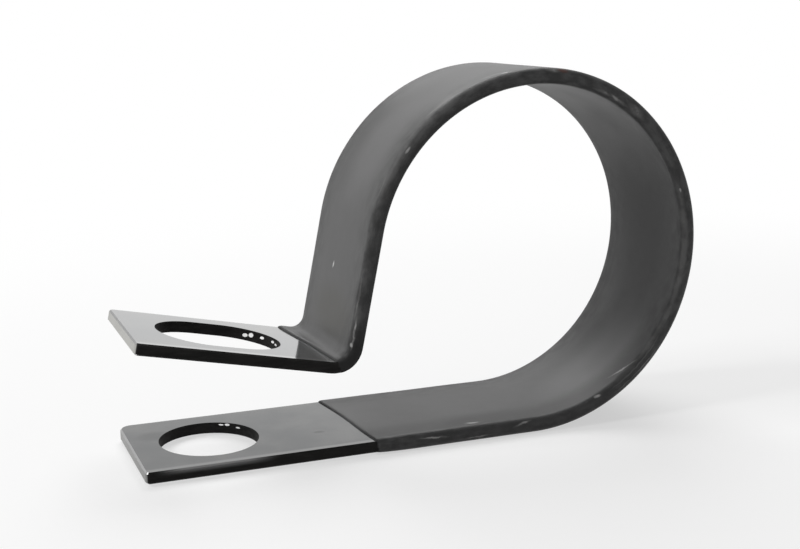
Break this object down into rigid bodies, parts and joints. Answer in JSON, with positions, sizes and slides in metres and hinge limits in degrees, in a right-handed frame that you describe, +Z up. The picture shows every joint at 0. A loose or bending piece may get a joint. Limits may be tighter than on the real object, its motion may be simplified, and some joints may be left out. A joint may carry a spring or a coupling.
{
  "type": "conduit clamp",
  "caption": "Open loop clamp for conduit: a steel strap folded into a loop with a vinyl coat, its bare tabs holed and slotted for one bolt.",
  "frame": {"origin": "on the conduit's axis, midway across the strap", "axes": "+X from the tabs' free ends towards the loop, +Y along the conduit, +Z up, square to the flat lower strap"},
  "size_m": [0.0787, 0.0198, 0.0494],
  "materials": {
    "bare_steel": "bright zinc plating on sheared strip, satin to mirror",
    "vinyl": "dipped charcoal vinyl, satin"
  },
  "bodies": {
    "root": {"steel_strap": "bare_steel", "vinyl_coat": "vinyl"}
  },
  "joints": []
}
